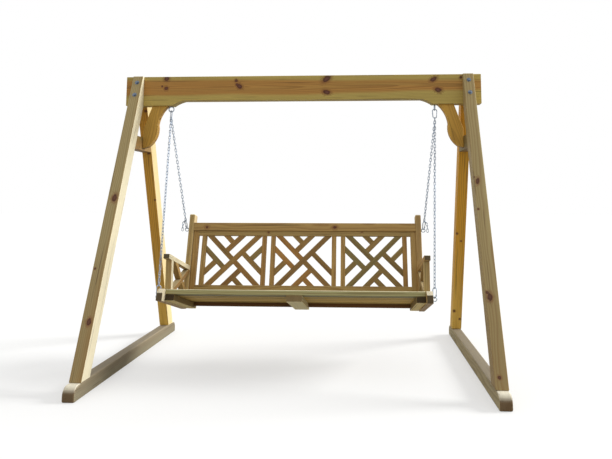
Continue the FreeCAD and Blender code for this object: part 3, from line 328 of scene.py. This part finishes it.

# Timbers: the solids with their arrises eased as a planed board's are, and the run of the grain written on each
# board. Warmth goes from 0, sapwood, to 1, honey; warmthOf and sunOf are for single timbers of a set, and sunOf
# scales the painted sunlight on a timber's faces turned to the key lamp.
timberSets = {
    "beam": {"slot": "treated_pine", "easeMm": 3.0, "warmth": (0.0, 0.1), "nodes": ["top_beam"],
             "pine": {"knots": beamKnots, "knotChance": 0.0, "pithSideMm": (22, 28), "pithDepthMm": (-12, -12),
                      "pithDrift": 0.017, "heartMm": (42, 64), "heartShare": 0.95, "sap": "#d1bb69",
                      "heart": "#c4914b", "wobbleMm": (700, 150), "wobbleReachMm": 16}},
    # The front legs' faces turned to the key lamp get painted sunlight, weaker on the right leg.
    "frontLegs": {"slot": "treated_pine", "easeMm": 3.0, "warmth": (0.0, 0.15),
                  "sunOf": {"front_leg_right": 0.7}, "nodes": ["front_leg_left", "front_leg_right"],
                  "pine": {"knots": legKnots, "knotChance": 0.06, "core": "#6e4936", "sap": "#a79a6e",
                           "heart": "#967b49", "heartShare": 0.5, "lowTone": "#886638", "lowToneMm": 900,
                           "lowToneShare": 0.5, "sunShare": 0.85}},
    # The rear legs' orange honey tone paints the warm bounce light in their shade; their faces turned to the key
    # lamp get painted sunlight, weaker on the right leg.
    "rearLegs": {"slot": "treated_pine", "easeMm": 3.0, "warmth": (0.98, 1.0),
                 "warmthOf": {"rear_leg_left": (0.78, 0.82)}, "sunOf": {"rear_leg_right": 0.7},
                 "nodes": ["rear_leg_left", "rear_leg_right"],
                 "pine": {"knots": legKnots, "knotChance": 0.06, "sap": "#e0b470", "honey": "#e8ad37",
                          "heart": "#c48330", "heartShare": 0.5, "lowTone": "#f3ca66", "lowToneMm": 900,
                          "lowToneShare": 0.8, "paintedSideLight": "#ecdba6", "sunShare": 0.85}},
    "ties": {"slot": "treated_pine", "easeMm": 3.0, "warmth": (0.3, 0.5),
             "nodes": ["collar_tie_left", "collar_tie_right"],
             "pine": {"knotChance": 0.1, "sap": "#7f7344", "honey": "#826835", "heartShare": 0.4}},
    "braces": {"slot": "treated_pine", "easeMm": 3.0, "warmth": (0.5, 0.7),
               "nodes": ["knee_brace_left", "knee_brace_right"],
               "pine": {"knotChance": 0.1, "sap": "#bfa556", "honey": "#cf993b", "heartShare": 0.3,
                        "ringShare": 0.3}},
    # The feet's grey tops are painted shade with weathering, their dark grey faces turned to the key lamp are
    # painted shade, the pale cap on the front end is a painted highlight and the dark end grain is partly painted
    # shade.
    "feet": {"slot": "weathered_pine", "easeMm": 8.0, "warmth": (0.0, 0.1),
             "nodes": ["foot_rail_left", "foot_rail_right"],
             "pine": {"sap": "#b2a884", "heart": "#9d8660", "late": "#736143", "bleachAndTopLight": "#8a7f6b",
                      "bleachAndTopLightShare": 1.0, "endGrain": "#654d34", "endShare": 0.85, "capMm": (698, 712),
                      "capShare": 0.85, "paintedSideLight": "#776f5c", "sunShare": 0.75, "roughness": (0.62, 0.84)}},
    # The outer bearers' dark tone and dark ends are painted shade under the seat; their pale, lighter undersides
    # are painted bounce light from the floor.
    "bearers": {"slot": "treated_pine", "easeMm": 2.5, "warmth": (0.0, 0.2),
                "nodes": ["seat_bearer_left", "seat_bearer_right"],
                "pine": {"knotChance": 0.1, "sap": "#8f8256", "heart": "#7c6538", "heartShare": 0.4,
                         "under": "#e6d290", "underShare": 0.8, "endGrain": "#372c20", "endShare": 0.9,
                         "underPaintedLight": 0.2, "specular": 0.1}},
    # The middle bearer is paler than the outer ones and has a pale, lighter underside: painted bounce light from
    # the floor.
    "middleBearer": {"slot": "treated_pine", "easeMm": 2.5, "warmth": (0.0, 0.2), "nodes": ["seat_bearer_middle"],
                     "pine": {"knotChance": 0.0, "sap": "#d6cc9c", "heart": "#c3ab70", "heartShare": 0.4,
                              "under": "#f0e6b8", "underShare": 0.8, "endGrain": "#7a623f", "endShare": 0.8,
                              "underPaintedLight": 0.2, "specular": 0.1}},
    # The front slat's pale top, lighter arrises and darker underside are painted top light, a painted highlight
    # and painted shade.
    "frontSlat": {"slot": "treated_pine", "easeMm": 4.0, "warmth": (0.0, 0.25), "nodes": ["seat_front_slat"],
                  "pine": {"knotChance": 0.1, "sap": "#a9ab7d", "heart": "#997f4c", "honey": "#b39355",
                           "bleachAndTopLight": "#e8e2c0", "bleachAndTopLightShare": 0.9, "arrisWearAndLight": 0.3, "underPaintedLight": -0.3,
                           "endGrain": "#453822", "endShare": 0.85, "specular": 0.1}},
    # The slats' darker arrises and narrow edges are painted shade in the gaps between them.
    "slats": {"slot": "treated_pine", "easeMm": 4.0, "warmth": (0.0, 0.5), "nodes": ["seat_slats"],
              "pine": {"under": "#d2ae58", "underShare": 0.7, "knotChance": 0.15, "sap": "#a9ab7d",
                       "heart": "#997f4c", "honey": "#b98f4a", "boardLight": (0.75, 1.35), "arrisWearAndLight": -0.6,
                       "edgePaintedLight": -0.6, "endGrain": "#453822", "endShare": 0.85, "underPaintedLight": 0.0,
                       "specular": 0.1}},
    # The rear rails' dark tone is painted shade under the back of the seat.
    "rearRails": {"slot": "treated_pine", "easeMm": 2.5, "warmth": (0.0, 0.25), "nodes": ["seat_rear_rails"],
                  "pine": {"knotChance": 0.1, "sap": "#6b4d30", "heart": "#593d24", "honey": "#6e5030",
                           "endGrain": "#453822", "specular": 0.1}},
    # The side rails', arm posts' and arm rests' pale tops are sun bleaching with painted top light, their faces
    # turned to the key lamp get painted sunlight, and the dark end grain of their front ends is painted shade.
    "sides": {"slot": "treated_pine", "easeMm": 2.5, "warmth": (0.2, 0.6),
              "nodes": ["side_rail_left", "side_rail_right", "arm_post_left", "arm_post_right", "arm_rest_left",
                        "arm_rest_right"],
              "pine": {"knotChance": 0.15, "boardLight": (0.96, 1.04), "sap": "#b4a572", "heart": "#a67d4a",
                       "honey": "#c89654", "endGrain": "#3e392b", "endShare": 0.85, "heartShare": 0.5,
                       "bleachAndTopLight": "#eee7cc", "bleachAndTopLightShare": 0.8, "sunShare": 0.75}},
    "armBraces": {"slot": "treated_pine", "easeMm": 2.5, "warmth": (0.2, 0.6),
                  "nodes": ["arm_brace_left", "arm_brace_right"],
                  "pine": {"knotChance": 0.15, "sap": "#a08f5c", "heart": "#8f6a3c", "honey": "#a97a40",
                           "endGrain": "#4a3f2e", "heartShare": 0.5}},
    # The posts' pale tops and pale end grain on top are painted top light, their lighter arrises a painted
    # highlight and their faces turned to the key lamp painted sunlight; the right post, kept near sapwood, is
    # painted shade.
    "posts": {"slot": "treated_pine", "easeMm": 6.0, "warmth": (0.2, 0.6),
              "warmthOf": {"back_post_right": (0.0, 0.1)}, "nodes": ["back_post_left", "back_post_right"],
              "pine": {"knotChance": 0.15, "boardLight": (0.96, 1.04), "sap": "#b4a572", "heart": "#a67d4a",
                       "honey": "#c89654", "endGrain": "#d8cca0", "bleachAndTopLightShare": 1.0, "heartShare": 0.5,
                       "bleachAndTopLight": "#f0e8c8", "arrisWearAndLight": 0.2, "sunShare": 0.3}},
    "back": {"slot": "treated_pine", "easeMm": 2.0, "warmth": (0.2, 0.7),
             "nodes": ["back_stile_left", "back_stile_right", "back_top_rail", "lattice_top_rail",
                       "back_bottom_rail", "panel_stiles"],
             "pine": {"knots": backKnots, "knotChance": 0.1, "boardLight": (0.96, 1.04), "sap": "#a89662",
                      "heart": "#a37c47", "honey": "#bd8e4d"}},
    "lattice": {"slot": "lattice_pine", "easeMm": 1.5, "warmth": (0.1, 0.7),
                "warmthOf": {"lattice_middle": (0.35, 0.9), "lattice_right": (0.0, 0.4)},
                "nodes": ["lattice_left", "lattice_middle", "lattice_right"],
                "pine": {"knotChance": 0.15, "sap": "#85794c", "heart": "#8f6c40", "honey": "#a8783e",
                         "knotGridMm": (220, 60), "knotMm": (3, 6), "heartShare": 0.5, "ringShare": 0.3}},
}
for key, setting in timberSets.items():
    finish = "weathered_pine" if key == "feet" else "treated_pine_" + key
    setting["material"] = treatedPine(finish, **setting["pine"])
print("pine made:", len(timberSets), "finishes")

timberLook = {
    "weldMm": 0.02, "flatTurn": math.radians(0.5),  # closes split corners, then joins a board's flat facets
    "arrisTurn": math.radians(35), "shortestMm": 5.0, "segments": 2, "profile": 0.5,
    "endTurn": 0.8,  # cosine: a face this square to the grain is end grain
    "flatShare": 1.4,  # a board this much wider than it is thick has narrow edges
    "screwClear": 1.8, "screwDeepMm": 80.0,  # arrises this many head radii from a screw's axis stay sharp
}


def weldedShape(mesh):
    shape = bmesh.new()
    shape.from_mesh(mesh)
    bmesh.ops.remove_doubles(shape, verts=shape.verts, dist=timberLook["weldMm"] / 1000)
    shape.verts.index_update()
    shape.faces.index_update()
    return shape


def boardsOf(shape):
    boards, seen = [], set()
    for start in shape.faces:
        if start.index in seen:
            continue
        seen.add(start.index)
        board, waiting = [], [start]
        while waiting:
            face = waiting.pop()
            board.append(face)
            for other in (f for e in face.edges for f in e.link_faces):
                if other.index not in seen:
                    seen.add(other.index)
                    waiting.append(other)
        boards.append(board)
    middles = [sum((face.calc_center_median() for face in board), Vector()) / len(board) for board in boards]
    order = sorted(range(len(boards)), key=lambda i: tuple(round(c, 4) for c in middles[i]))
    return [boards[i] for i in order]


def cornersOf(board):
    return sorted({v for face in board for v in face.verts}, key=lambda v: v.index)


def boardAxes(board):
    runs, walls = np.zeros((3, 3)), np.zeros((3, 3))
    for edge in (e for face in board for e in face.edges):
        way = np.array(edge.verts[1].co - edge.verts[0].co)
        runs += np.outer(way, way) * np.linalg.norm(way)
    along = np.linalg.eigh(runs)[1][:, 2]
    for face in board:
        normal = np.array(face.normal)
        normal = normal - along * (normal @ along)
        walls += np.outer(normal, normal) * face.calc_area()
    through = np.linalg.eigh(walls)[1][:, 2]
    across = np.cross(through, along)
    return [axis * np.sign(axis[np.argmax(np.abs(axis))]) for axis in (along, across, through)]


def newPiece(name, shape, material, body):
    mesh = bpy.data.meshes.new(name)
    shape.to_mesh(mesh)
    shape.free()
    mesh.materials.append(material)
    piece = bpy.data.objects.new(name, mesh)
    scene.collection.objects.link(piece)
    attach(piece, body)
    return piece


# Screws: where each one sits, so that the arrises of its hole stay sharp and its head can be turned there. The
# cross and the hexagon are in shares of the head's radius, depths in shares of its height.
screwSets = {"tie_screws": "cross", "brace_screws": "cross", "slat_screws": "cross", "bench_screws": "cross",
             "leg_screws": "hex", "side_screws": "hex"}
screwLook = {"sides": 24, "rimShare": 0.95, "crown": 0.86, "rimDrop": 0.15, "crossLong": 0.62, "crossWide": 0.17,
             "crossDeep": 0.55, "crossTaper": 0.6, "hexFlat": 0.94, "hexSlope": math.tan(math.radians(30)),
             "sharpTurn": math.radians(30)}


def screwFrame(points):
    middle = points.mean(0)
    axis = np.linalg.eigh(np.cov((points - middle).T))[1][:, 2]
    run = (points - middle) @ axis
    reach = np.linalg.norm(points - middle - np.outer(run, axis), axis=1)
    if reach[run > np.median(run)].max() < reach[run < np.median(run)].max():
        axis, run = -axis, -run
    headRun = run[reach > screwLook["rimShare"] * reach.max()]
    corner = points[np.argmax(reach)] - middle
    corner = corner - axis * (corner @ axis)
    corner /= np.linalg.norm(corner)
    seat = Matrix(np.column_stack([corner, np.cross(axis, corner), axis])).to_4x4()
    return {"place": Matrix.Translation(middle + axis * run.max()) @ seat, "radius": reach.max(),
            "high": run.max() - headRun.min(), "long": run.max() - run.min(),
            "shank": reach[run < np.median(run)].max()}


screwFrames = {}
for name in screwSets:
    shape = weldedShape(nodes[name].data)
    screwFrames[name] = [screwFrame(np.array([v.co for v in cornersOf(screw)])) for screw in boardsOf(shape)]
    shape.free()
everyScrew = [screw for screws in screwFrames.values() for screw in screws]
screwTips = np.array([screw["place"].translation for screw in everyScrew])
screwWays = np.array([screw["place"].col[2][:3] for screw in everyScrew])
screwReach = np.array([timberLook["screwClear"] * screw["radius"] for screw in everyScrew])


def besideScrew(edge):
    away = np.array((edge.verts[0].co + edge.verts[1].co) / 2) - screwTips
    run = (away * screwWays).sum(1)
    aside = np.linalg.norm(away - screwWays * run[:, None], axis=1)
    return bool(np.any((aside < screwReach) & (abs(run) < timberLook["screwDeepMm"] / 1000)))


boardFrames = {}  # the plugs take their leg's grain from here


def easedTimber(name, setting):
    shape = weldedShape(nodes[name].data)
    grainLayer = shape.verts.layers.float_vector.new("grain")
    arrisLayer, boardLayer, warmthLayer, endLayer, edgeLayer, skyLayer, sunLayer = (
        shape.faces.layers.float.new(key)
        for key in ("arris", "board", "warmth", "endGrain", "edge", "sky", "sun"))
    bmesh.ops.dissolve_limit(shape, angle_limit=timberLook["flatTurn"], verts=shape.verts, edges=shape.edges)
    arrises = [e for e in shape.edges
               if len(e.link_faces) == 2 and e.calc_length() > timberLook["shortestMm"] / 1000
               and e.calc_face_angle() > timberLook["arrisTurn"] and e.is_convex and not besideScrew(e)]
    eased = bmesh.ops.bevel(shape, geom=arrises, offset=setting["easeMm"] / 1000, affect="EDGES",
                            segments=timberLook["segments"], profile=timberLook["profile"],
                            clamp_overlap=False, loop_slide=True)
    for face in eased["faces"]:
        face[arrisLayer] = 1.0
    shape.verts.index_update()
    shape.faces.index_update()
    shape.normal_update()
    sunLit = setting.get("sunOf", {}).get(name, 1.0)
    boards = boardsOf(shape)
    for index, board in enumerate(boards):
        chance = random.Random(f"{name} {index}")
        seed = chance.random()
        warmth = chance.uniform(*setting.get("warmthOf", {}).get(name, setting["warmth"]))
        along, across, through = boardAxes(board)
        axes = np.array([along, across, through])
        corners = cornersOf(board)
        spots = np.array([v.co for v in corners]) @ axes.T
        middle = (spots.min(0) + spots.max(0)) / 2
        size = spots.max(0) - spots.min(0)
        isFlat = size[1] > timberLook["flatShare"] * size[2]
        boardFrames[name] = (axes, middle, seed, warmth)
        for corner, spot in zip(corners, spots):
            corner[grainLayer] = Vector(spot - middle)
        for face in board:
            normal = np.array(face.normal)
            face[boardLayer] = seed
            face[warmthLayer] = warmth
            face[endLayer] = float(abs(normal @ along) > timberLook["endTurn"])
            face[edgeLayer] = float(isFlat and abs(normal @ across) > timberLook["endTurn"])
            face[skyLayer] = face.normal.z
            face[sunLayer] = sunLit * face.normal.x
            face.smooth = True
    timber = newPiece(name + "_timber", shape, setting["material"], nodes[name]["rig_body"])
    timber.modifiers.new("flat_faces", "WEIGHTED_NORMAL").keep_sharp = True
    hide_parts(name)
    return len(boards)


boardCount = {key: sum(easedTimber(name, setting) for name in setting["nodes"])
              for key, setting in timberSets.items()}
print("timbers made:", boardCount)

# Hardware: chains, eyes, hooks and washers keep their solids and take the zinc; the screws get turned heads.
zinc = galvanisedSteel("galvanised_steel")
brightZinc = galvanisedSteel("zinc_plated_steel", tint="#8791a0", shade="#525c69", roughness=(0.22, 0.4))


def turnedScrew(shape, kind, screw):
    sides, radius, high = screwLook["sides"], screw["radius"], screw["high"]
    around = [2 * math.pi * i / sides for i in range(sides)]
    if kind == "hex":  # the six flats meet a turned chamfer
        flat = radius * math.cos(math.pi / 6)
        rim = [flat / math.cos((turn % (math.pi / 3)) - math.pi / 6) for turn in around]
        crown = flat * screwLook["hexFlat"]
        rings = [[(crown, 0)] * sides, [(r, -(r - crown) * screwLook["hexSlope"]) for r in rim],
                 [(r, -high) for r in rim]]
    else:  # a low crown over a countersunk cone
        rings = [[(screwLook["crown"] * radius, 0)] * sides, [(radius, -screwLook["rimDrop"] * high)] * sides]
    rings += [[(screw["shank"], -high)] * sides, [(screw["shank"], -screw["long"])] * sides]
    loops = [[shape.verts.new(screw["place"] @ Vector((r * math.cos(turn), r * math.sin(turn), z)))
              for turn, (r, z) in zip(around, ring)] for ring in rings]
    for upper, lower in zip(loops, loops[1:]):
        for i in range(sides):
            shape.faces.new((upper[i - 1], lower[i - 1], lower[i], upper[i]))
    shape.faces.new(loops[-1][::-1])
    if kind == "hex":
        shape.faces.new(loops[0])
        return
    far, near = screwLook["crossLong"] * radius, screwLook["crossWide"] * radius
    taper, deep = screwLook["crossTaper"], screwLook["crossDeep"] * high
    cross = [(far, -near), (far, near), (near, near), (near, far), (-near, far), (-near, near),
             (-far, near), (-far, -near), (-near, -near), (-near, -far), (near, -far), (near, -near)]
    mouth = [shape.verts.new(screw["place"] @ Vector((x, y, 0))) for x, y in cross]
    pit = [shape.verts.new(screw["place"] @ Vector((x * taper, y * taper, -deep))) for x, y in cross]
    for i in range(len(cross)):
        shape.faces.new((mouth[i - 1], mouth[i], pit[i], pit[i - 1]))
    shape.faces.new(pit)
    edges = [shape.edges.get((loop[i - 1], loop[i])) for loop in (loops[0], mouth) for i in range(len(loop))]
    bmesh.ops.triangle_fill(shape, use_beauty=True, edges=edges, normal=screw["place"].col[2].to_3d())


for name, kind in screwSets.items():
    shape = bmesh.new()
    for screw in screwFrames[name]:
        turnedScrew(shape, kind, screw)
    bmesh.ops.recalc_face_normals(shape, faces=shape.faces)
    for face in shape.faces:
        face.smooth = True
    screws = newPiece(name + "_turned", shape, brightZinc, nodes[name]["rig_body"])
    screws.data.set_sharp_from_angle(angle=screwLook["sharpTurn"])
    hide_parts(name)
print("screws turned:", {name: len(screws) for name, screws in screwFrames.items()})

# Pine plugs close the sunk holes of the tie screws flush with the legs; their grain runs as the leg's does. Only
# the mouth of a hole, its points above a share of its depth, gives the plane of the leg's face.
plugLook = {"screws": "tie_screws", "sides": 32, "gapMm": 0.05, "rimShare": 0.4, "nearMm": 9.0}
gap = plugLook["gapMm"] / 1000
turns = [2 * math.pi * i / plugLook["sides"] for i in range(plugLook["sides"])]
for end, setKey in (("front", "frontLegs"), ("rear", "rearLegs")):
    shape = bmesh.new()
    grainLayer = shape.verts.layers.float_vector.new("grain")
    boardLayer, warmthLayer = (shape.faces.layers.float.new(key) for key in ("board", "warmth"))
    for screw in screwFrames[plugLook["screws"]]:
        top = screw["place"].translation
        if (top.y < 0) != (end == "front"):
            continue
        leg = f"{end}_leg_" + ("left" if top.x < 0 else "right")
        local = [screw["place"].inverted() @ v.co for v in nodes[leg].data.vertices]
        near = [c for c in local if math.hypot(c.x, c.y) < plugLook["nearMm"] / 1000 and c.z > 0]
        rim = np.array([c for c in near if c.z > plugLook["rimShare"] * max(c.z for c in near)])
        slope = np.linalg.lstsq(np.column_stack([rim[:, :2], np.ones(len(rim))]), rim[:, 2], rcond=None)[0]
        radius = np.hypot(rim[:, 0], rim[:, 1]).max() - gap
        circle = [(radius * math.cos(t), radius * math.sin(t)) for t in turns]
        ends = [[(x, y, slope @ (x, y, 1)) for x, y in circle], [(x, y, 2 * gap) for x, y in circle]]
        upper, lower = [[shape.verts.new(screw["place"] @ Vector(spot)) for spot in ring] for ring in ends]
        faces = [shape.faces.new(upper), shape.faces.new(lower[::-1])]
        faces += [shape.faces.new((upper[i - 1], lower[i - 1], lower[i], upper[i])) for i in range(len(turns))]
        axes, middle, seed, warmth = boardFrames[leg]
        for corner in upper + lower:
            corner[grainLayer] = Vector(axes @ np.array(corner.co) - middle)
        for face in faces:
            face[boardLayer], face[warmthLayer] = seed, warmth
    bmesh.ops.recalc_face_normals(shape, faces=shape.faces)
    newPiece(f"{end}_leg_plugs", shape, timberSets[setKey]["material"], "standing_frame")
print("plugs set")

# Spare chain: the links left over at the rear hooks hang free beside them. Each is a copy of the chain's lowest
# link and leans out less than the one above it.
spareLook = {"leanOut": (0.75, 0.3, 0.06, 0.0), "overlapMm": 8.4}
for side, sign in (("left", -1), ("right", 1)):
    shape = weldedShape(nodes["rear_chain_" + side].data)
    links = boardsOf(shape)
    middles = [sum((v.co for v in cornersOf(link)), Vector()) / len(cornersOf(link)) for link in links]
    lowest = min(range(len(links)), key=lambda i: middles[i].z)
    start = middles[lowest]
    others = [face for i, link in enumerate(links) if i != lowest for face in link]
    bmesh.ops.delete(shape, geom=others, context="FACES")
    points = np.array([v.co for v in shape.verts]) - np.array(start)
    wide, tall = np.linalg.eigh(points.T @ points)[1].T[1:]
    local = points @ np.column_stack([wide, np.cross(tall, wide), tall])
    pitch = np.ptp(local[:, 2]) - spareLook["overlapMm"] / 1000
    template = bpy.data.meshes.new("spare_link")
    for vert, spot in zip(shape.verts, local):
        vert.co = spot
    shape.to_mesh(template)
    shape.clear()
    for index, lean in enumerate(spareLook["leanOut"]):
        way = Vector((sign * lean, 0, -1)).normalized()
        flat = Vector((0, 1, 0)) if index % 2 == 0 else Vector((0, 1, 0)).cross(way)
        turn = Matrix((flat, way.cross(flat), way)).transposed()
        begin = len(shape.verts)
        shape.from_mesh(template)
        shape.verts.ensure_lookup_table()
        for vert in shape.verts[begin:]:
            vert.co = turn @ vert.co + start + way * pitch / 2
        start = start + way * pitch
    bpy.data.meshes.remove(template)
    bmesh.ops.recalc_face_normals(shape, faces=shape.faces)
    for face in shape.faces:
        face.smooth = True
    newPiece("spare_chain_" + side, shape, zinc, "swing_bench")
    print("spare chain", side, "pitch", round(pitch, 4))

shaped = set(screwSets) | {name for setting in timberSets.values() for name in setting["nodes"]}
for name, node in nodes.items():
    if name not in shaped:
        node.data.materials.clear()
        node.data.materials.append(brightZinc if name == "leg_washers" else zinc)
print("hardware finished")

# Stage: a pale floor, an even white surround and one large soft lamp from the right, behind and above. The camera
# and the metal see the floor and the surround near white; what the floor throws back on the timber stays low.
stageLook = {"floorSize": 60.0, "floor": "#f4f4f2", "floorBounce": "#9c978e", "floorGlow": 0.5, "surround": 0.74,
             "white": "#ffffff", "key": 3.3, "keySpread": 20.0, "keyFrom": (0.88, 0.18, 0.44)}


def seenShare(add):
    path = add("ShaderNodeLightPath")
    seen = add("ShaderNodeMath", {0: path["Is Camera Ray"], 1: path["Is Glossy Ray"]}, operation="MAXIMUM")[0]
    return add("ShaderNodeMath", {0: seen, 1: path["Is Transmission Ray"]}, operation="MAXIMUM")[0]


floorMesh = bpy.data.meshes.new("floor")
half = stageLook["floorSize"] / 2
floorCorners = [(-half, -half, 0), (half, -half, 0), (half, half, 0), (-half, half, 0)]
floorMesh.from_pydata(floorCorners, [], [(0, 1, 2, 3)])
floor = bpy.data.objects.new("floor", floorMesh)
scene.collection.objects.link(floor)
paint, add = newMaterial("floor_paint")
seen = seenShare(add)
tone = add("ShaderNodeMix", {0: seen, 6: linear(stageLook["floorBounce"]), 7: linear(stageLook["floor"])},
           data_type="RGBA")[2]
matt = add("ShaderNodeBsdfDiffuse", {"Color": tone})[0]
glow = add("ShaderNodeEmission", {"Color": linear(stageLook["white"]), "Strength": 1.0})[0]
share = add("ShaderNodeMath", {0: seen, 1: stageLook["floorGlow"]}, operation="MULTIPLY")[0]
add("ShaderNodeOutputMaterial", {"Surface": add("ShaderNodeMixShader", {0: share, 1: matt, 2: glow})[0]})
floorMesh.materials.append(paint)

world = bpy.data.worlds.new("surround")
scene.world = world
world.use_nodes = True
world.node_tree.nodes.clear()
add = partial(addNode, world.node_tree)
level = add("ShaderNodeMapRange", {"Value": seenShare(add), "To Min": stageLook["surround"], "To Max": 1.0})[0]
sky = add("ShaderNodeBackground", {"Color": linear(stageLook["white"]), "Strength": level})[0]
add("ShaderNodeOutputWorld", {"Surface": sky})

lamp = bpy.data.lights.new("key_lamp", "SUN")
lamp.energy = stageLook["key"]
lamp.angle = math.radians(stageLook["keySpread"])
keyLamp = bpy.data.objects.new("key_lamp", lamp)
keyLamp.rotation_euler = Vector(stageLook["keyFrom"]).to_track_quat("Z", "Y").to_euler()
scene.collection.objects.link(keyLamp)

# Camera where the photograph was taken from; the photograph is cut from a larger frame, so its axis is off the
# middle. Turns are in radians, the rest in metres, pixels and millimetres.
photoView = {"place": (0.375853, -3.598178, 1.008503), "yaw": 0.049108, "pitch": 0.113194, "roll": -0.001415,
             "focalPx": 560.905, "axisPx": (331.982, 134.380), "imagePx": (612, 459), "sensorMm": 36.0,
             "clipEnd": 200.0}
yaw, pitch, roll = photoView["yaw"], photoView["pitch"], photoView["roll"]
right = Vector((math.cos(yaw), math.sin(yaw), 0))
ahead = Vector((-math.sin(yaw) * math.cos(pitch), math.cos(yaw) * math.cos(pitch), math.sin(pitch)))
above = right.cross(ahead)
right, above = (math.cos(roll) * right - math.sin(roll) * above, math.sin(roll) * right + math.cos(roll) * above)
camera = bpy.data.objects.new("camera", bpy.data.cameras.new("camera"))
aim = Matrix((right, above, -ahead)).transposed().to_4x4()
camera.matrix_world = Matrix.Translation(photoView["place"]) @ aim
wide, high = photoView["imagePx"]
camera.data.sensor_width = photoView["sensorMm"]
camera.data.lens = photoView["focalPx"] / wide * photoView["sensorMm"]
camera.data.shift_x = (wide / 2 - photoView["axisPx"][0]) / wide
camera.data.shift_y = (photoView["axisPx"][1] - high / 2) / wide
camera.data.clip_end = photoView["clipEnd"]
scene.collection.objects.link(camera)
scene.camera = camera
print("stage set")
